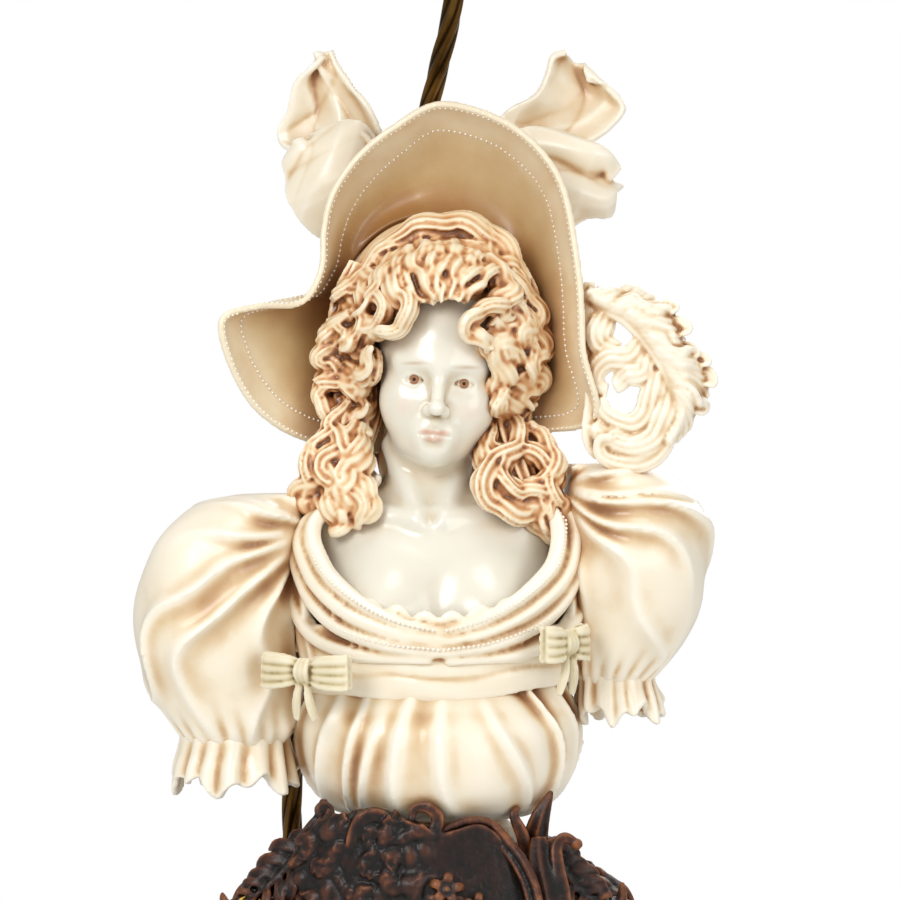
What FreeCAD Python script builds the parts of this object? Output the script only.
"""A figural table lamp: a glazed porcelain bust in a wide hat on a carved wooden base.

A rope-twist brass arm rises out of the back of the base, bends behind the hat and carries a
two-light cluster, a riser and a stiffened shade. The figure faces -Y, +X is to the viewer's
right, +Z is up, and the origin is the centre of the footprint, on the table. Millimetres.
"""
import FreeCAD, Part
import math
import os
from FreeCAD import Vector

os.makedirs("parts", exist_ok=True)

# ---- driving dimensions ---------------------------------------------------------------
FIT_GAP = 0.3            # working gap between pieces that only rest against each other
RUNNING_GAP = 0.05       # radial gap of a turning or sliding fit

# Carved base
FOOT_HEIGHT = 38.0
FELT_THICKNESS = 2.5
FOOT_SPREAD_X = 138.0
FOOT_SPREAD_Y = 88.0
PLINTH_THICKNESS = 18.0
PLINTH_HALF_WIDTH = 176.0
PLINTH_HALF_DEPTH = 124.0
BASE_HEIGHT = 212.0
BASE_WALL = 16.0
BOTTOM_PLATE_THICKNESS = 3.0
SCREW_RADIUS = 2.0
SCREW_HEAD_RADIUS = 4.0
SCREW_LENGTH = 14.0
INLET_RADIUS = 3.6       # bore of the cord bush
INLET_LENGTH = 18.0

# Bust
SOCLE_TOP = 238.0
BUST_X = 5.0             # the torso stands a little to the viewer's right
PORCELAIN_WALL = 7.0
SASH_BOTTOM = 322.0
SASH_TOP = 348.0
SASH_THICKNESS = 4.0
TORSO_TOP = 478.0
CHIN_HEIGHT = 491.0
HEAD_Y = 10.0            # ear line, behind the shoulders' centre line
HEAD_TILT = 5.0          # degrees, towards the viewer's right
NECK_RADIUS = 31.0
DRAPE_RADIUS = 13.0

# Hat
HAT_CENTRE = Vector(-2, 38, 612)
HAT_RING_X = 66.0
HAT_RING_Z = 68.0
BRIM_THICKNESS = 6.0
CROWN_DEPTH = 88.0
HAT_BAND_WIDTH = 20.0
HAT_BAND_THICKNESS = 4.0

# Rope-twist arm and lamp head
ARM_RADIUS = 8.0
ARM_BORE = 5.5
ARM_WIRE_RADIUS = 2.6
WIRE_BUSH_LENGTH = 9.0
ARM_X = -109.0
ARM_Y = 85.0
ARM_FOOT = 70.0
NUT_RADIUS = 14.0        # across the corners, halved
NUT_THICKNESS = 8.0
HEAD_X = 18.0            # axis of the lamp head
HEAD_DEPTH = 70.0
ARM_TOP = 912.0
FLANGE_RADIUS = 24.0
FLANGE_THICKNESS = 6.0
COUPLING_HEIGHT = 24.0
CLUSTER_HEIGHT = 26.0
CLUSTER_RADIUS = 17.0
CLUSTER_BAR_RADIUS = 4.2
SOCKET_SPACING = 96.0
CAP_HEIGHT = 20.0
SHELL_HEIGHT = 44.0
SOCKET_RADIUS = 17.0
SOCKET_WALL = 1.0
LINER_WALL = 1.2
BULB_RADIUS = 30.0
BULB_HEIGHT = 100.0
BULB_BASE_RADIUS = 13.0
CHAIN_RADIUS = 1.6
CHAIN_DROP = 62.0
CHAIN_TRAVEL = 8.0
GUIDE_HEIGHT = 8.0
RISER_RADIUS = 4.0
SHADE_HEIGHT = 215.0
SHADE_BOTTOM_RADIUS = 172.0
SHADE_TOP_RADIUS = 96.0
SHADE_THICKNESS = 1.6
SHADE_DROP = 12.0        # the shade's lower edge below the sockets' caps
RING_WIRE = 1.8
SPIDER_EYE = 9.0
FINIAL_HEIGHT = 34.0


# ---- helpers --------------------------------------------------------------------------
def save(name, *solids):
    """Writes one node from its solids."""
    found = [s for shape in solids for s in shape.Solids]
    shape = found[0] if len(found) == 1 else Part.makeCompound(found)
    if not shape.isValid():
        print("INVALID", name)
    shape.exportStep("parts/" + name + ".step")
    print(f"{name}: {len(found)} solid(s), {sum(s.Volume for s in found) / 1000:.1f} cm3")


def closed_curve(points):
    """A smooth closed wire through the points."""
    curve = Part.BSplineCurve()
    curve.interpolate(Points=points, PeriodicFlag=True)
    return Part.Wire([curve.toShape()])


def ring(x, y, z, half_width, front, back, lobes=0, depth=0.0, phase=0.0, squareness=2.0, steps=28):
    """A level closed wire: half_width across, front towards -Y and back towards +Y."""
    points = []
    for k in range(steps):
        t = 2 * math.pi * k / steps
        c, s = math.cos(t), math.sin(t)
        wave = 1 + depth * math.cos(lobes * t + phase)
        px = math.copysign(abs(c) ** (2 / squareness), c) * half_width * wave
        py = math.copysign(abs(s) ** (2 / squareness), s) * (back if s > 0 else front) * wave
        points.append(Vector(x + px, y + py, z))
    return closed_curve(points)


def loft(wires):
    return Part.makeLoft(wires, True, False)


def ellipsoid(centre, rx, ry, rz):
    stretch = FreeCAD.Matrix(rx, 0, 0, centre[0], 0, ry, 0, centre[1], 0, 0, rz, centre[2])
    return Part.makeSphere(1.0).transformGeometry(stretch)


def turned(profile, x, y):
    """A solid of revolution about the vertical line through x, y, from (radius, height) points."""
    points = [Vector(r, 0, z) for r, z in profile]
    outline = Part.makePolygon(points + [points[0]])
    solid = Part.Face(outline).revolve(Vector(), Vector(0, 0, 1), 360)
    solid.translate(Vector(x, y, 0))
    return solid


def tube(x, y, low, high, outer, inner=0.0):
    solid = Part.makeCylinder(outer, high - low, Vector(x, y, low))
    if inner:
        solid = solid.cut(Part.makeCylinder(inner, high - low, Vector(x, y, low)))
    return solid


def rounded_path(points):
    """Straight runs joined by tangent arcs, each as large as its two runs allow."""
    edges = []
    start = points[0]
    for k in range(1, len(points) - 1):
        a, b, c = points[k - 1], points[k], points[k + 1]
        u, v = (a - b).normalize(), (c - b).normalize()
        shorter = min((a - b).Length, (c - b).Length)
        back = 0.45 * shorter
        half_turn = (math.pi - u.getAngle(v)) / 2
        radius = back / math.tan(half_turn)
        p, q = b + u * back, b + v * back
        towards = (u + v).normalize()
        middle = b + towards * (radius / math.cos(half_turn) - radius)
        edges += [Part.LineSegment(start, p).toShape(), Part.Arc(p, middle, q).toShape()]
        start = q
    edges.append(Part.LineSegment(start, points[-1]).toShape())
    return Part.Wire(edges)


def swept(path, radius):
    """A round bar along the path."""
    first = path.Edges[0]
    start = first.valueAt(first.FirstParameter)
    along = first.tangentAt(first.FirstParameter)
    profile = Part.Wire([Part.makeCircle(radius, start, along)])
    return path.makePipeShell([profile], True, False)


def smooth_bar(points, half_width, half_depth, steps=14):
    """A smooth bar through the points, thin at both ends, with upright oval sections."""
    spine = Part.BSplineCurve()
    spine.interpolate(Points=points)
    wires = []
    first, last = spine.FirstParameter, spine.LastParameter
    for k in range(steps + 1):
        share = k / steps
        at = first + (last - first) * share
        centre = spine.value(at)
        along = Vector(*spine.tangent(at)[0]).normalize()
        across = along.cross(Vector(0, 1, 0)).normalize()
        deep = across.cross(along).normalize()
        swell = 0.35 + 0.65 * math.sin(math.pi * (0.08 + 0.84 * share)) ** 0.8
        oval = [centre + across * (half_width * swell * math.cos(t)) + deep * (half_depth * swell * math.sin(t))
                for t in (2 * math.pi * j / 12 for j in range(12))]
        wires.append(closed_curve(oval))
    return loft(wires)


def clear_of(shape, others):
    """The shape less every other shape that reaches it, as one solid: the largest that is left."""
    for other in others:
        if shape.BoundBox.intersect(other.BoundBox):
            shape = shape.cut(other)
    return max(shape.Solids, key=lambda s: s.Volume)


def cluster_of_balls(balls):
    """One lumpy solid from (x, y, z, radius) curls."""
    solids = [Part.makeSphere(r, Vector(x, y, z)) for x, y, z, r in balls]
    return solids[0].multiFuse(solids[1:])


# ---- carved base ----------------------------------------------------------------------
BODY_HALF_WIDTH = 160.0  # where the body stands on the plinth
BODY_HALF_DEPTH = 112.0
PLATE_LEDGE = 8.0        # how far the bottom plate is let into the plinth round the hollow
PLATE_TOP = FOOT_HEIGHT + BOTTOM_PLATE_THICKNESS
PLINTH_TOP = FOOT_HEIGHT + PLINTH_THICKNESS
INLET_BUSH_RADIUS = INLET_RADIUS + 3.0
INLET_Z = PLINTH_TOP + 16.0
INLET_FACE = 114.5
NUT_TOP = ARM_FOOT + 2.0 + NUT_THICKNESS


def base_sections(inset, low, high):
    """The bombe body: (height, half width, half depth), less the inset."""
    shape = [
        (PLINTH_TOP, BODY_HALF_WIDTH, BODY_HALF_DEPTH),
        (88.0, 164.0, 116.0),
        (125.0, 156.0, 112.0),
        (155.0, 142.0, 104.0),
        (178.0, 122.0, 93.0),
        (196.0, 104.0, 82.0),
        (BASE_HEIGHT, 92.0, 74.0),
    ]
    wires = [ring(0, 0, z, a - inset, b - inset, b - inset, squareness=2.6) for z, a, b in shape
             if low <= z <= high]
    return wires


def base_body():
    outer = loft(base_sections(0, PLINTH_TOP, BASE_HEIGHT))
    inner = loft(base_sections(BASE_WALL, PLINTH_TOP, 196.0))
    body = outer.cut(inner)
    body = body.cut(tube(ARM_X, ARM_Y, NUT_TOP, BASE_HEIGHT, ARM_RADIUS + RUNNING_GAP)).cut(nut_pocket())
    pierced = Part.makeBox(16, 60, 12, Vector(-52, -120, 180))
    pierced.rotate(Vector(-44, -90, 186), Vector(0, 1, 0), 45)
    inlet = Part.makeCylinder(INLET_BUSH_RADIUS + RUNNING_GAP, 60, Vector(0, 80, INLET_Z), Vector(0, 1, 0))
    return body.cut(pierced).cut(inlet)


def nut_pocket():
    """The counterbore from below that the arm's nut is turned up into."""
    return tube(ARM_X, ARM_Y, PLATE_TOP, NUT_TOP, NUT_RADIUS + 2.0)


def hollow_slab(low, high, wider):
    """A level slab with the outline of the base's hollow, made wider all round."""
    width, depth = BODY_HALF_WIDTH - BASE_WALL + wider, BODY_HALF_DEPTH - BASE_WALL + wider
    return loft([ring(0, 0, z, width, depth, depth, squareness=2.6) for z in (low, high)])


def plinth():
    wires = []
    for z, inset in ((FOOT_HEIGHT, 6), (FOOT_HEIGHT + 6, 0), (PLINTH_TOP, 10)):
        depth = PLINTH_HALF_DEPTH - inset
        wires.append(ring(0, 0, z, PLINTH_HALF_WIDTH - inset, depth, depth, squareness=2.8))
    rounded = loft(wires)
    hollow = hollow_slab(PLATE_TOP, PLINTH_TOP, 0)
    recess = hollow_slab(FOOT_HEIGHT, PLATE_TOP, PLATE_LEDGE)
    solid = rounded.cut(hollow).cut(recess).cut(nut_pocket())
    for x, y in screw_places():
        solid = solid.cut(Part.makeCylinder(SCREW_RADIUS, SCREW_LENGTH, Vector(x, y, FOOT_HEIGHT)))
    return solid


def screw_places():
    return [(sx * 85, sy * 88) for sx in (-1, 1) for sy in (-1, 1)]


def bottom_plate():
    plate = hollow_slab(FOOT_HEIGHT, PLATE_TOP, PLATE_LEDGE - FIT_GAP)
    for x, y in screw_places():
        plate = plate.cut(Part.makeCylinder(SCREW_RADIUS + FIT_GAP, PLATE_TOP, Vector(x, y, 0)))
    return plate


def plate_screws():
    screws = []
    for x, y in screw_places():
        shank = Part.makeCylinder(SCREW_RADIUS, SCREW_LENGTH, Vector(x, y, FOOT_HEIGHT))
        head = Part.makeCylinder(SCREW_HEAD_RADIUS, 2.0, Vector(x, y, FOOT_HEIGHT - 2.0))
        screws.append(shank.fuse(head))
    return screws


def scroll_foot(sx, sy):
    """A C-scroll foot: a rolled toe under a sloping knee, cut from the plank on the diagonal."""
    outline = [
        Vector(-26, 0, FOOT_HEIGHT), Vector(-22, 0, 20), Vector(2, 0, 10), Vector(14, 0, FELT_THICKNESS),
        Vector(44, 0, FELT_THICKNESS), Vector(52, 0, 14), Vector(48, 0, 28), Vector(34, 0, FOOT_HEIGHT),
    ]
    face = Part.Face(Part.makePolygon(outline + [outline[0]]))
    foot = face.extrude(Vector(0, 44, 0))
    foot.translate(Vector(0, -22, 0))
    foot.rotate(Vector(), Vector(0, 0, 1), math.degrees(math.atan2(sy * 0.55, sx)))
    foot.translate(Vector(sx * (FOOT_SPREAD_X - 10), sy * (FOOT_SPREAD_Y - 6), 0))
    return foot


def felt_pad(sx, sy):
    """Sits under the toe of a foot."""
    turn = math.atan2(sy * 0.55, sx)
    x = sx * (FOOT_SPREAD_X - 10) + math.cos(turn) * 29
    y = sy * (FOOT_SPREAD_Y - 6) + math.sin(turn) * 29
    return Part.makeCylinder(13, FELT_THICKNESS, Vector(x, y, 0))


def side_scroll(side, body):
    """The wing at one shoulder of the base: it sweeps down and out, and its tip turns up."""
    tip = 8 if side > 0 else -4
    spine = [
        Vector(side * 88, -30, 214), Vector(side * 104, -36, 190), Vector(side * 124, -42, 170),
        Vector(side * 142, -46, 164), Vector(side * 148, -48, 176 + tip),
    ]
    return smooth_bar(spine, 15, 26).cut(body)


def volute(side, body):
    """The round scroll under the wing."""
    roll = Part.makeTorus(24, 9, Vector(side * 122, -84, 148), Vector(side * 0.5, -1, 0.35))
    return roll.cut(body)


def cartouche(body):
    """A raised oval frame on the front with a boss in it."""
    frame = Part.makeTorus(46, 8, Vector(), Vector(0, 0, 1)).transformGeometry(
        FreeCAD.Matrix(1, 0, 0, 0, 0, 1.25, 0, 0, 0, 0, 1.4, 0))
    frame.rotate(Vector(), Vector(1, 0, 0), 66)
    frame.translate(Vector(20, -100, 152))
    return frame.cut(body)


# The horns and the leaf of the carved crest that hides the joint with the bust
CREST_HALF_WIDTH = 15.0
CREST_HALF_DEPTH = 13.0
CRESTS = {
    "crest_left": [Vector(-84, -58, 196), Vector(-84, -60, 218), Vector(-80, -58, 246)],
    "crest_leaf": [Vector(-50, -72, 208), Vector(-28, -82, 226), Vector(-6, -84, 232)],
    "crest_right": [Vector(74, -58, 196), Vector(78, -60, 222), Vector(88, -58, 250)],
}


# ---- bust -----------------------------------------------------------------------------
def socle():
    profile = [
        (0, BASE_HEIGHT), (70, BASE_HEIGHT), (70, BASE_HEIGHT + 5), (60, BASE_HEIGHT + 10), (52, SOCLE_TOP - 8),
        (50, SOCLE_TOP), (0, SOCLE_TOP),
    ]
    body = turned(profile, 0, 0)
    return body.cut(Part.makeCylinder(30, 100, Vector(0, 0, BASE_HEIGHT - 20)))


def torso_sections(inset):
    shape = [
        (SOCLE_TOP, 56.0, 46.0, 44.0),
        (262.0, 66.0, 56.0, 50.0),
        (300.0, 84.0, 66.0, 56.0),
        (SASH_TOP, 100.0, 78.0, 62.0),
        (385.0, 106.0, 84.0, 64.0),
        (420.0, 108.0, 72.0, 64.0),
        (450.0, 100.0, 52.0, 58.0),
        (468.0, 76.0, 40.0, 50.0),
        (TORSO_TOP, 44.0, 33.0, 42.0),
    ]
    return [ring(BUST_X * min(1, (z - SOCLE_TOP) / 60), 2, z, a - inset, f - inset, b - inset)
            for z, a, f, b in shape]


def bodice(core):
    """The gathered overhang of the dress below the sash."""
    shape = [
        (SOCLE_TOP, 62.0, 58.0, 50.0, 0.00),
        (247.0, 86.0, 84.0, 60.0, 0.03),
        (266.0, 103.0, 97.0, 68.0, 0.04),
        (295.0, 108.0, 98.0, 70.0, 0.03),
        (SASH_BOTTOM, 103.0, 84.0, 67.0, 0.02),
    ]
    outer = loft([ring(BUST_X, 2, z, a, f, b, lobes=14, depth=d, steps=56) for z, a, f, b, d in shape])
    return outer.cut(core)


def sash(core):
    half_width, front, back = 99.0 + SASH_THICKNESS, 79.0 + SASH_THICKNESS, 63.0 + SASH_THICKNESS
    outer = loft([ring(BUST_X, 2, z, half_width, front, back) for z in (SASH_BOTTOM, SASH_TOP)])
    return outer.cut(core)


def head_and_neck(torso_solid):
    shape = [
        (0, 15.0, -38.0, 20.0, 18.0), (14, 29.0, -24.0, 37.0, 32.0), (35, 41.0, -12.0, 50.0, 44.0),
        (60, 47.0, -3.0, 57.0, 56.0), (90, 51.0, 4.0, 62.0, 62.0), (120, 53.0, 5.0, 60.0, 62.0),
        (145, 44.0, 6.0, 46.0, 50.0), (160, 25.0, 7.0, 26.0, 28.0), (164, 8.0, 7.0, 8.0, 9.0),
    ]
    skull = loft([ring(0, HEAD_Y + y, CHIN_HEIGHT + z, a, f, b) for z, a, y, f, b in shape])
    nose = Part.makeCone(7.5, 3.0, 34, Vector(0, HEAD_Y - 66, CHIN_HEIGHT + 46), Vector(0, 0.30, 1))
    skull = skull.fuse(nose)
    skull.rotate(Vector(0, HEAD_Y, CHIN_HEIGHT), Vector(0, 1, 0), HEAD_TILT)
    neck = loft([
        ring(-3, HEAD_Y + 2, TORSO_TOP - 14, NECK_RADIUS + 14, NECK_RADIUS + 8, NECK_RADIUS + 12),
        ring(-3, HEAD_Y + 4, TORSO_TOP + 4, NECK_RADIUS + 3, NECK_RADIUS + 2, NECK_RADIUS + 3),
        ring(-2, HEAD_Y + 8, CHIN_HEIGHT + 20, NECK_RADIUS, NECK_RADIUS, NECK_RADIUS),
        ring(-1, HEAD_Y + 10, CHIN_HEIGHT + 40, NECK_RADIUS, NECK_RADIUS, NECK_RADIUS),
    ])
    return skull.fuse(neck).cut(torso_solid)


# (x, y, z, radius) of the curls in each mass of hair
HAIR_TOP = [
    (-4, -30, 650, 25), (-32, -24, 640, 22), (24, -24, 642, 22), (-52, -14, 618, 20),
    (46, -14, 620, 20), (-4, 2, 658, 26), (-30, 6, 648, 24), (26, 6, 648, 24),
]
HAIR_LEFT = [
    (-64, -12, 592, 20), (-72, -4, 566, 20), (-66, -14, 540, 19), (-76, 4, 520, 19), (-82, -4, 496, 20),
    (-84, -14, 470, 18), (-70, -34, 452, 15), (-62, 10, 530, 22), (-60, 20, 500, 20),
]
HAIR_RIGHT = [
    (60, -12, 596, 20), (72, -6, 568, 20), (66, -12, 540, 19), (72, 4, 514, 19),
    (80, 8, 486, 20), (84, -6, 462, 17), (60, 18, 500, 22), (58, 22, 536, 22),
]
HAIR_BACK = [(-23, 51, 525, 23), (27, 53, 527, 22), (2, 57, 499, 23), (-35, 45, 491, 20), (37, 46, 493, 20)]


# ---- hat ------------------------------------------------------------------------------
# (angle on the hat's inner ring, then the brim's edge: x, y, z, and how far the brim bellies back)
BRIM_EDGE = [
    (0, 6, -6, 762, 26), (20, 51, -9, 749, 26), (38, 85, -14, 723, 24), (56, 103, -20, 690, 20),
    (80, 110, -30, 632, 14), (104, 113, -34, 577, 10), (124, 122, -26, 527, 8), (144, 84, 4, 516, 6),
    (165, 42, 40, 510, 2), (185, 0, 62, 504, 0), (206, -46, 46, 500, 2), (226, -92, 8, 508, 8),
    (242, -126, -20, 530, 12), (256, -148, -38, 563, 14), (268, -156, -46, 598, 16), (278, -132, -32, 608, 14),
    (288, -100, -12, 612, 10), (300, -86, -2, 636, 10), (314, -84, 2, 667, 14), (328, -76, 2, 694, 20),
    (340, -56, 0, 721, 24), (351, -27, -4, 745, 26),
]


def brim():
    """A ring of thin sections, one at each point of the edge, lofted all the way round."""
    rows = []
    for angle, x, y, z, belly in BRIM_EDGE:
        t = math.radians(angle)
        start = HAT_CENTRE + Vector(HAT_RING_X * math.sin(t), 0, HAT_RING_Z * math.cos(t))
        end = Vector(x, y, z)
        rows.append([start + (end - start) * s + Vector(0, belly * 4 * s * (1 - s), 0)
                     for s in (0.0, 0.25, 0.5, 0.75, 1.0)])
    wires = []
    count = len(rows)
    for k, row in enumerate(rows):
        before, after = rows[k - 1], rows[(k + 1) % count]
        upper, lower = [], []
        for j, point in enumerate(row):
            outward = row[min(j + 1, 4)] - row[max(j - 1, 0)]
            around = after[j] - before[j]
            normal = outward.cross(around).normalize()
            thin = BRIM_THICKNESS / 2 * (1.0 - 0.3 * j / 4)
            upper.append(point + normal * thin)
            lower.append(point - normal * thin)
        top, bottom = Part.BSplineCurve(), Part.BSplineCurve()
        top.interpolate(Points=upper)
        bottom.interpolate(Points=lower[::-1])
        wires.append(Part.Wire([
            top.toShape(), Part.LineSegment(upper[-1], lower[-1]).toShape(),
            bottom.toShape(), Part.LineSegment(lower[0], upper[0]).toShape(),
        ]))
    return Part.makeLoft(wires, True, False, True)


def crown_section(depth, shrink, lift, inset):
    """An upright oval behind the brim."""
    points = []
    for k in range(24):
        t = 2 * math.pi * k / 24
        across, upright = HAT_RING_X * shrink - inset, HAT_RING_Z * shrink - inset
        points.append(HAT_CENTRE + Vector(across * math.sin(t), depth, upright * math.cos(t) + lift))
    return closed_curve(points)


# (share of the crown's depth, share of the ring's size, lift)
CROWN_SHAPE = [(0, 1.0, 0), (0.35, 0.98, 3), (0.68, 0.92, 8), (0.9, 0.74, 11), (1.0, 0.42, 12)]


def crown_loft(inset, roof):
    """The crown's outside at inset 0, or its hollow, which stops short by the roof."""
    return loft([crown_section(CROWN_DEPTH * d - (roof if d == 1.0 else 0), s, up, inset)
                 for d, s, up in CROWN_SHAPE])


def hat_band(crown_filled):
    start = BRIM_THICKNESS + 6
    outer = loft([
        crown_section(start + HAT_BAND_WIDTH * share, 1.0, 2, -HAT_BAND_THICKNESS) for share in (0, 0.5, 1)
    ])
    return outer.cut(crown_filled)


def hat_bow(leaf, lobe, others):
    """A ribbon end that stands up behind the brim, over a rolled loop."""
    upper = loft([ring(x, y, z, a, b, b) for x, y, z, a, b in leaf])
    return clear_of(upper.fuse(ellipsoid(*lobe)), others)


# (x, y, z, half width, half depth) up each standing ribbon end, then its loop's centre and radii
BOW_LEFT_LEAF = [
    (-32, 66, 664, 16, 12), (-42, 74, 690, 20, 14), (-62, 76, 722, 32, 15), (-76, 74, 750, 40, 14),
    (-80, 71, 780, 28, 11), (-83, 68, 808, 8, 6),
]
BOW_LEFT_LOBE = ((-82, 66, 710), 34, 22, 38)
BOW_RIGHT_LEAF = [
    (32, 66, 662, 18, 12), (46, 74, 690, 22, 14), (74, 76, 716, 38, 15), (98, 75, 744, 48, 14),
    (108, 72, 768, 42, 12), (102, 69, 794, 26, 9), (98, 67, 810, 10, 6),
]
BOW_RIGHT_LOBE = ((104, 66, 716), 34, 22, 35)
PLUME_SPINE = [
    (116, -8, 622), (140, -14, 624), (170, -18, 606), (190, -20, 572), (184, -22, 534), (158, -24, 508),
    (128, -22, 508),
]

# ---- sleeves --------------------------------------------------------------------------
# (x, z, half width, half depth) from the shoulder down to the cuff
SLEEVE_LEFT = [(-136, 476, 22, 22), (-146, 462, 46, 46), (-160, 430, 59, 62), (-165, 390, 59, 68),
               (-161, 345, 58, 66), (-152, 305, 50, 56), (-148, 284, 40, 44)]
SLEEVE_RIGHT = [(150, 498, 18, 18), (152, 484, 42, 42), (153, 450, 53, 58), (154, 412, 54, 64),
                (151, 372, 52, 60), (142, 342, 40, 46), (137, 330, 32, 38)]
CUFF_LEFT = [(-148, 284, 40, 42), (-148, 272, 42, 44), (-147, 258, 41, 42)]
CUFF_RIGHT = [(137, 330, 30, 34), (139, 320, 29, 33), (140, 308, 27, 30)]
SLEEVE_FOLDS = 9
CUFF_FOLDS = 11


def gathered(rows, folds, deep, inset=0.0):
    """A puff or a frill with upright folds, from (x, z, half width, half depth) rows."""
    wires = []
    for k, (x, z, a, b) in enumerate(rows):
        width, depth = a - inset, b - inset
        wires.append(ring(x, 2, z, width, depth, depth, lobes=folds, depth=deep, phase=0.25 * k, steps=54))
    return loft(wires)


def sleeve(rows, filled, others):
    hollow = gathered(rows[1:-1], 0, 0.0, PORCELAIN_WALL * 1.6)
    return clear_of(filled.cut(hollow), others)


def cuff(rows, others):
    frill = gathered(rows, CUFF_FOLDS, 0.05)
    return clear_of(frill.cut(gathered(rows, 0, 0.0, 5.0)), others)


def ribbon_bow(x, y, z, half_width, height, turn, tail, others):
    """Two flared loops, a knot and two tails, flat against the dress."""
    solids = []
    for side in (-1, 1):
        flare = Part.makePolygon([
            Vector(side * 5, 0, -height * 0.28), Vector(side * half_width, 0, -height * 0.5),
            Vector(side * half_width, 0, height * 0.5), Vector(side * 5, 0, height * 0.28),
            Vector(side * 5, 0, -height * 0.28)])
        solids.append(Part.Face(flare).extrude(Vector(0, 11, 0)))
        streamer = Part.makePolygon([
            Vector(side * 1, 1, -4), Vector(side * 4, 1, -tail), Vector(side * 14, 1, -tail + 3),
            Vector(side * 6, 1, -4), Vector(side * 1, 1, -4)])
        solids.append(Part.Face(streamer).extrude(Vector(0, 8, 0)))
    knot = Part.makeCylinder(8, height * 0.8, Vector(0, 5, -height * 0.4))
    bow = knot.multiFuse(solids)
    bow.rotate(Vector(), Vector(0, 0, 1), turn)
    bow.translate(Vector(x, y, z))
    return clear_of(bow, others)


# ---- arm and lamp head ----------------------------------------------------------------
ARM_ROUTE = [
    Vector(ARM_X, ARM_Y, ARM_FOOT), Vector(ARM_X, ARM_Y, 300), Vector(-64, 114, 440), Vector(-38, 142, 600),
    Vector(-5, 126, 765), Vector(HEAD_X, HEAD_DEPTH, 850), Vector(HEAD_X, HEAD_DEPTH, ARM_TOP),
]
COUPLING_TOP = ARM_TOP + COUPLING_HEIGHT
CLUSTER_TOP = COUPLING_TOP + CLUSTER_HEIGHT
CAP_BOTTOM = COUPLING_TOP + 2 * CLUSTER_BAR_RADIUS + 0.6
CAP_TOP = CAP_BOTTOM + CAP_HEIGHT
SHELL_TOP = CAP_TOP + SHELL_HEIGHT
CORE_TOP = CAP_TOP + 20.0
SHADE_BOTTOM = CAP_BOTTOM - SHADE_DROP
SHADE_TOP = SHADE_BOTTOM + SHADE_HEIGHT
SPIDER_Z = SHADE_TOP - 10.0
RISER_TOP = SPIDER_Z + 12.0
CHAIN_Y = -(SOCKET_RADIUS + 5.0)


def arm(path):
    return swept(path, ARM_RADIUS).cut(swept(path, ARM_BORE))


def coupling():
    profile = [
        (ARM_BORE, ARM_TOP), (11, ARM_TOP), (16, ARM_TOP + 4), (16, ARM_TOP + 7), (10, ARM_TOP + 12),
        (13, COUPLING_TOP - 4), (13, COUPLING_TOP), (ARM_BORE, COUPLING_TOP),
    ]
    return turned(profile, HEAD_X, HEAD_DEPTH)


def cluster_body():
    """The hollow hub with its two side arms, which end in upturned seats for the sockets."""
    hub = turned([
        (0, COUPLING_TOP), (10, COUPLING_TOP), (CLUSTER_RADIUS, COUPLING_TOP + 7),
        (CLUSTER_RADIUS, CLUSTER_TOP - 7), (9, CLUSTER_TOP), (0, CLUSTER_TOP)], HEAD_X, HEAD_DEPTH)
    bar_z = CAP_BOTTOM - CLUSTER_BAR_RADIUS
    bar_start = Vector(HEAD_X - SOCKET_SPACING / 2, HEAD_DEPTH, bar_z)
    solids = [Part.makeCylinder(CLUSTER_BAR_RADIUS, SOCKET_SPACING, bar_start, Vector(1, 0, 0))]
    for side in (-1, 1):
        x = HEAD_X + side * SOCKET_SPACING / 2
        solids.append(tube(x, HEAD_DEPTH, bar_z - 7, CAP_BOTTOM, 7.0))
    body = hub.multiFuse(solids)
    hollow = tube(HEAD_X, HEAD_DEPTH, COUPLING_TOP, CLUSTER_TOP - 6, 7.0)
    return body.cut(hollow)


def socket_cap(x):
    outer = [(6, CAP_BOTTOM), (9, CAP_BOTTOM), (13, CAP_BOTTOM + 3), (SOCKET_RADIUS, CAP_BOTTOM + 13),
             (SOCKET_RADIUS, CAP_TOP)]
    inner = [(r - SOCKET_WALL, z) for r, z in outer[:0:-1]]
    inner[-1] = (6, CAP_BOTTOM + 1.2)
    return turned(outer + inner, x, HEAD_DEPTH)


def socket_shell(x):
    shell = turned([
        (SOCKET_RADIUS, CAP_TOP), (SOCKET_RADIUS, SHELL_TOP), (SOCKET_RADIUS - SOCKET_WALL, SHELL_TOP),
        (SOCKET_RADIUS - SOCKET_WALL, CAP_TOP)], x, HEAD_DEPTH)
    return shell


def chain_guide(x):
    """The bell-mouthed guide on the front of the shell that the pull chain drops through."""
    y = HEAD_DEPTH + CHAIN_Y
    low = CAP_TOP + 4.0
    body = tube(x, y, low, low + GUIDE_HEIGHT, 4.0)
    stalk = Part.makeCylinder(3.0, -CHAIN_Y - SOCKET_RADIUS + 6, Vector(x, y, low + 4.0), Vector(0, 1, 0))
    shell = Part.makeCylinder(SOCKET_RADIUS, SHELL_HEIGHT, Vector(x, HEAD_DEPTH, CAP_TOP))
    return body.fuse(stalk).cut(shell).cut(tube(x, y, low, low + GUIDE_HEIGHT, CHAIN_RADIUS + 0.3))


def socket_liner(x):
    outer = SOCKET_RADIUS - SOCKET_WALL - RUNNING_GAP
    return tube(x, HEAD_DEPTH, CAP_TOP, SHELL_TOP - 2, outer, outer - LINER_WALL)


def socket_core(x):
    """The insulating switch body with the screw shell's seat."""
    radius = SOCKET_RADIUS - SOCKET_WALL - RUNNING_GAP - LINER_WALL - RUNNING_GAP
    return tube(x, HEAD_DEPTH, CAP_BOTTOM + 15.0, CORE_TOP, radius)


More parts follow.
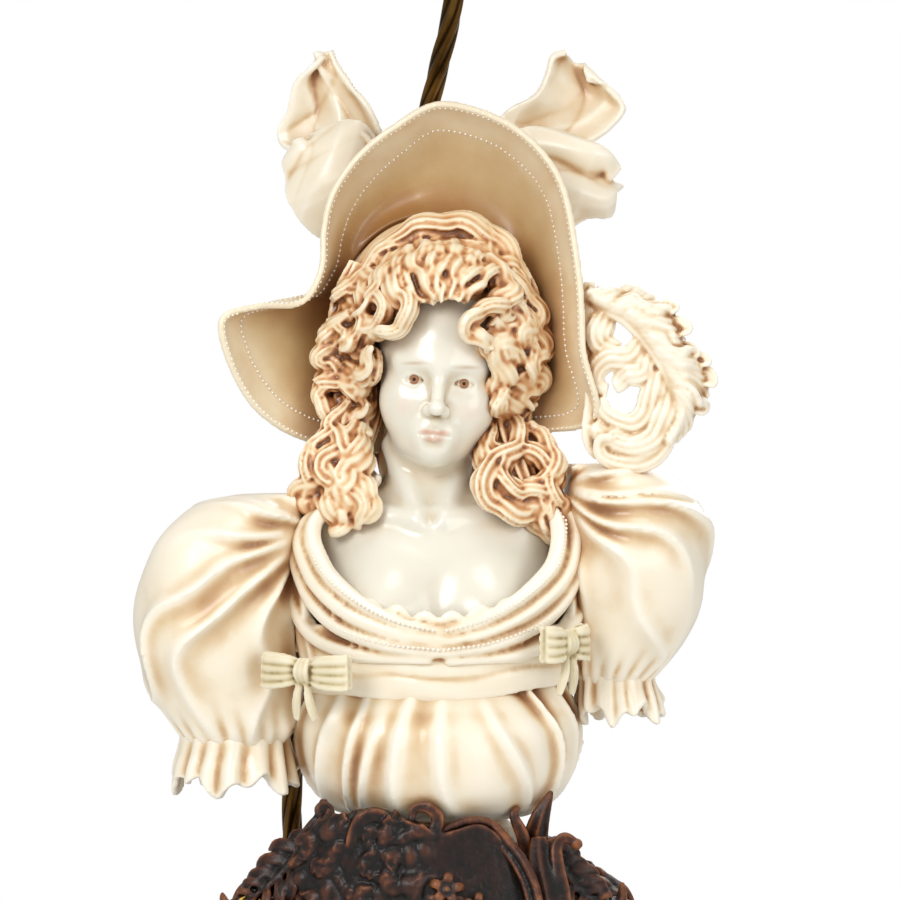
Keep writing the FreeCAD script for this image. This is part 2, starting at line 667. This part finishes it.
def screw_shell(x):
    """The thin threaded sleeve that the bulb's cap turns in, as its plain outline."""
    outer = BULB_BASE_RADIUS + 1.2
    return tube(x, HEAD_DEPTH, CORE_TOP, CORE_TOP + 18.0, outer, outer - 1.0)


def bulb(x):
    low = CORE_TOP
    neck = low + 26.0
    profile = [
        (0, low), (8, low), (BULB_BASE_RADIUS - 0.6, low + 4), (BULB_BASE_RADIUS - 0.6, neck), (15, neck + 6),
        (23, neck + 20), (BULB_RADIUS - 1, neck + 34), (BULB_RADIUS, neck + 44), (BULB_RADIUS - 2, neck + 55),
        (23, neck + 65), (13, neck + 72), (0, low + BULB_HEIGHT),
    ]
    return turned(profile, x, HEAD_DEPTH)


def pull_chain(x):
    """The beaded chain as a plain rod, with a stop above the guide and a bell at its end."""
    y = HEAD_DEPTH + CHAIN_Y
    guide_top = CAP_TOP + 4.0 + GUIDE_HEIGHT
    stop_radius = CHAIN_RADIUS + 0.9
    stop_at = guide_top + CHAIN_TRAVEL + stop_radius + 0.5
    end = guide_top - CHAIN_DROP
    rod = tube(x, y, end, stop_at, CHAIN_RADIUS)
    stop = Part.makeSphere(stop_radius, Vector(x, y, stop_at))
    bell = turned([(0, end + 2), (2.4, end + 2), (3.2, end - 4), (5.0, end - 12), (0, end - 12)], x, y)
    return rod.fuse(stop).fuse(bell)


def riser():
    rod = tube(HEAD_X, HEAD_DEPTH, CLUSTER_TOP, RISER_TOP, RISER_RADIUS)
    seat = tube(HEAD_X, HEAD_DEPTH, SPIDER_Z - 5, SPIDER_Z - FIT_GAP / 2, SPIDER_EYE)
    return rod.fuse(seat)


def shade_radius(z):
    share = (z - SHADE_BOTTOM) / (SHADE_TOP - SHADE_BOTTOM)
    return SHADE_BOTTOM_RADIUS + (SHADE_TOP_RADIUS - SHADE_BOTTOM_RADIUS) * share


def shade_shell():
    return turned([
        (SHADE_BOTTOM_RADIUS, SHADE_BOTTOM), (SHADE_TOP_RADIUS, SHADE_TOP),
        (SHADE_TOP_RADIUS - SHADE_THICKNESS, SHADE_TOP), (SHADE_BOTTOM_RADIUS - SHADE_THICKNESS, SHADE_BOTTOM)],
        HEAD_X, HEAD_DEPTH)


def shade_ring(z):
    radius = shade_radius(z) - SHADE_THICKNESS - RING_WIRE - 0.2
    return Part.makeTorus(radius, RING_WIRE, Vector(HEAD_X, HEAD_DEPTH, z))


def shade_spider():
    """The washer at the riser and its three spokes, which join the top ring."""
    eye = tube(HEAD_X, HEAD_DEPTH, SPIDER_Z, SPIDER_Z + 2.0, SPIDER_EYE, RISER_RADIUS + RUNNING_GAP)
    ring_radius = shade_radius(SPIDER_Z + 1.0) - SHADE_THICKNESS - RING_WIRE - 0.2
    parts = [Part.makeTorus(ring_radius, RING_WIRE, Vector(HEAD_X, HEAD_DEPTH, SPIDER_Z + 1.0))]
    for k in range(3):
        t = math.radians(30 + 120 * k)
        out = Vector(math.cos(t), math.sin(t), 0)
        start = Vector(HEAD_X, HEAD_DEPTH, SPIDER_Z + 1.0) + out * (SPIDER_EYE - 2.0)
        parts.append(Part.makeCylinder(1.0, ring_radius - SPIDER_EYE + 2.0, start, out))
    return eye.multiFuse(parts)


def trim(z_low, z_high, proud):
    """A folded ribbon round one edge of the shade, outside it."""
    low, high = shade_radius(z_low) + 0.05, shade_radius(z_high) + 0.05
    outline = [(low, z_low), (low + proud, z_low), (high + proud, z_high), (high, z_high)]
    return turned(outline, HEAD_X, HEAD_DEPTH)


def finial():
    low = SPIDER_Z + 2.0 + FIT_GAP / 2
    bore = RISER_RADIUS + RUNNING_GAP
    profile = [
        (bore, low), (8, low), (8, low + 3), (5.4, low + 7), (5.4, low + 11), (10, low + 17), (11, low + 22),
        (8, low + 27), (3, low + 31), (0, low + FINIAL_HEIGHT), (0, RISER_TOP), (bore, RISER_TOP),
    ]
    return turned(profile, HEAD_X, HEAD_DEPTH)


def arm_flange(body):
    """A turned brass collar where the arm leaves the carved shoulder."""
    low = 146.0
    collar = turned([
        (ARM_RADIUS + RUNNING_GAP, low), (FLANGE_RADIUS, low), (FLANGE_RADIUS, low + FLANGE_THICKNESS),
        (FLANGE_RADIUS - 6, low + FLANGE_THICKNESS + 4), (ARM_RADIUS + 4, low + FLANGE_THICKNESS + 12),
        (ARM_RADIUS + RUNNING_GAP, low + FLANGE_THICKNESS + 14)], ARM_X, ARM_Y)
    return collar.cut(body)


def wire_bushes():
    """Insulating bushes that centre the wire in both ends of the arm."""
    outer, bore = ARM_BORE - RUNNING_GAP, ARM_WIRE_RADIUS + RUNNING_GAP
    return [tube(ARM_X, ARM_Y, ARM_FOOT, ARM_FOOT + WIRE_BUSH_LENGTH, outer, bore),
            tube(HEAD_X, HEAD_DEPTH, ARM_TOP - WIRE_BUSH_LENGTH, ARM_TOP, outer, bore)]


def arm_nut():
    """The hexagonal nut inside the base that clamps the arm."""
    corners = [math.radians(60 * k) for k in range(7)]
    flats = Part.Face(Part.makePolygon([
        Vector(ARM_X + NUT_RADIUS * math.cos(t), ARM_Y + NUT_RADIUS * math.sin(t), NUT_TOP - NUT_THICKNESS)
        for t in corners]))
    nut = flats.extrude(Vector(0, 0, NUT_THICKNESS))
    return nut.cut(tube(ARM_X, ARM_Y, ARM_FOOT, NUT_TOP, ARM_RADIUS + RUNNING_GAP))


def inlet_bush(base):
    """The bush in the back of the base, with its rim against the wood."""
    body = Part.makeCylinder(INLET_BUSH_RADIUS, INLET_LENGTH, Vector(0, INLET_FACE - INLET_LENGTH, INLET_Z),
                             Vector(0, 1, 0))
    rim = Part.makeCylinder(INLET_BUSH_RADIUS + 3, 3, Vector(0, INLET_FACE, INLET_Z), Vector(0, 1, 0))
    bore = Part.makeCylinder(INLET_RADIUS, INLET_LENGTH + 3, Vector(0, INLET_FACE - INLET_LENGTH, INLET_Z),
                             Vector(0, 1, 0))
    return body.fuse(rim.cut(base)).cut(bore)


def brass_curl(side, body):
    """A brass scroll bar behind the base that ends in a small open curl."""
    if side < 0:
        curl = Part.makeTorus(7.0, 2.4, Vector(-136, 60, 166), Vector(0, 1, 0))
        stem = swept(rounded_path([Vector(-129.5, 60, 166), Vector(-127, 66, 150), Vector(-112, 68, 132)]), 2.4)
        return curl.fuse(stem).cut(body)
    stem = swept(rounded_path([Vector(112, 50, 186), Vector(110, 56, 168), Vector(108, 60, 150)]), 2.4)
    leaf = Part.makeCone(2.4, 0.6, 12, Vector(112, 50, 186), Vector(0.3, 0, 1))
    return stem.fuse(leaf).cut(body)


# ---- build ----------------------------------------------------------------------------
def main():
    solid_base = loft(base_sections(0, PLINTH_TOP, BASE_HEIGHT))
    socle_solid = socle()
    socle_filled = Part.makeCylinder(70, 60, Vector(0, 0, BASE_HEIGHT))
    save("base_body", base_body())
    save("base_plinth", plinth())
    save("bottom_plate", bottom_plate())
    save("plate_screws", *plate_screws())
    corners = [(sx, sy) for sx in (-1, 1) for sy in (-1, 1)]
    save("scroll_feet", *[scroll_foot(sx, sy) for sx, sy in corners])
    save("felt_pads", *[felt_pad(sx, sy) for sx, sy in corners])
    wings = [side_scroll(-1, solid_base), side_scroll(1, solid_base)]
    save("wing_left", wings[0])
    save("wing_right", wings[1])
    save("volutes", *[clear_of(volute(side, solid_base), wings) for side in (-1, 1)])
    save("cartouche_frame", cartouche(solid_base))
    for name, route in CRESTS.items():
        horn = smooth_bar(route, CREST_HALF_WIDTH, CREST_HALF_DEPTH)
        save(name, clear_of(horn, [solid_base, socle_filled] + wings))

    save("socle", socle_solid)
    torso_filled = loft(torso_sections(0))
    torso = torso_filled.cut(loft(torso_sections(PORCELAIN_WALL)[1:-1]))
    save("torso", torso)
    brim_solid = brim()
    crown_filled = crown_loft(0, 0)
    head = clear_of(head_and_neck(torso_filled), [brim_solid])
    save("head_and_neck", head)
    crown = clear_of(crown_filled.cut(crown_loft(PORCELAIN_WALL, PORCELAIN_WALL)), [brim_solid, head])
    band = clear_of(hat_band(crown_filled), [brim_solid, head])
    drape_route = [Vector(-98, 8, 470), Vector(-92, -44, 436), Vector(-58, -84, 382), Vector(2, -92, 356),
                   Vector(62, -82, 376), Vector(96, -42, 436), Vector(102, 8, 472)]
    puff_left = gathered(SLEEVE_LEFT, SLEEVE_FOLDS, 0.035)
    puff_right = gathered(SLEEVE_RIGHT, SLEEVE_FOLDS, 0.035)
    bodice_solid = bodice(torso_filled)
    sleeve_left = sleeve(SLEEVE_LEFT, puff_left, [torso_filled, bodice_solid])
    sleeve_right = sleeve(SLEEVE_RIGHT, puff_right, [torso_filled, bodice_solid])
    save("gathered_bodice", bodice_solid)
    save("sleeve_left", sleeve_left)
    save("sleeve_right", sleeve_right)
    sash_solid = clear_of(sash(torso_filled), [puff_left, puff_right])
    save("sash", sash_solid)
    save("cuff_left", cuff(CUFF_LEFT, [puff_left, bodice_solid]))
    save("cuff_right", cuff(CUFF_RIGHT, [puff_right, bodice_solid, sash_solid]))
    drape = clear_of(smooth_bar(drape_route, DRAPE_RADIUS, DRAPE_RADIUS + 6, 18),
                     [torso_filled, puff_left, puff_right, head, sash_solid])
    save("neckline_drape", drape)
    dress = [torso_filled, bodice_solid, sash_solid, drape, puff_left, puff_right]
    save("dress_bow_left", ribbon_bow(-90, -76.5, 342, 40, 24, -32, 34, dress))
    save("dress_bow_right", ribbon_bow(96, -70, 362, 26, 26, 50, 36, dress))

    hat = [brim_solid, crown_filled, band]
    save("hat_brim", brim_solid)
    save("hat_crown", crown)
    save("hat_band", band)
    save("hat_bow_left", hat_bow(BOW_LEFT_LEAF, BOW_LEFT_LOBE, hat))
    save("hat_bow_right", hat_bow(BOW_RIGHT_LEAF, BOW_RIGHT_LOBE, hat))
    save("plume", clear_of(smooth_bar([Vector(*p) for p in PLUME_SPINE], 22, 15), hat + [puff_right]))

    taken = [head, brim_solid, crown_filled, band, torso_filled, drape, puff_left, puff_right]
    for name, balls in (("hair_top", HAIR_TOP), ("hair_left", HAIR_LEFT), ("hair_right", HAIR_RIGHT),
                        ("hair_back", HAIR_BACK)):
        mass = clear_of(cluster_of_balls(balls), taken)
        taken.append(mass)
        save(name, mass)

    arm_path = rounded_path(ARM_ROUTE)
    save("arm_tube", arm(arm_path))
    save("arm_flange", arm_flange(solid_base))
    save("arm_nut", arm_nut())
    save("lamp_wire", swept(arm_path, ARM_WIRE_RADIUS))
    save("cord_inlet_bush", inlet_bush(solid_base))
    save("brass_curls", brass_curl(-1, solid_base), brass_curl(1, solid_base))
    save("wire_bushes", *wire_bushes())
    save("arm_coupling", coupling())
    save("cluster_body", cluster_body())
    centres = [HEAD_X - SOCKET_SPACING / 2, HEAD_X + SOCKET_SPACING / 2]
    for name, make in (
            ("socket_caps", socket_cap), ("socket_shells", socket_shell), ("socket_liners", socket_liner),
            ("socket_cores", socket_core), ("screw_shells", screw_shell), ("chain_guides", chain_guide)):
        save(name, *[make(x) for x in centres])
    for side, x in zip(("left", "right"), centres):
        save("pull_chain_" + side, pull_chain(x))
        save("bulb_" + side, bulb(x))
    save("riser", riser())
    save("shade_shell", shade_shell())
    save("shade_bottom_ring", shade_ring(SHADE_BOTTOM + RING_WIRE + 0.2))
    save("shade_spider", shade_spider())
    save("shade_trims", trim(SHADE_BOTTOM, SHADE_BOTTOM + 9, 0.8), trim(SHADE_TOP - 7, SHADE_TOP, 0.8))
    save("finial", finial())


main()
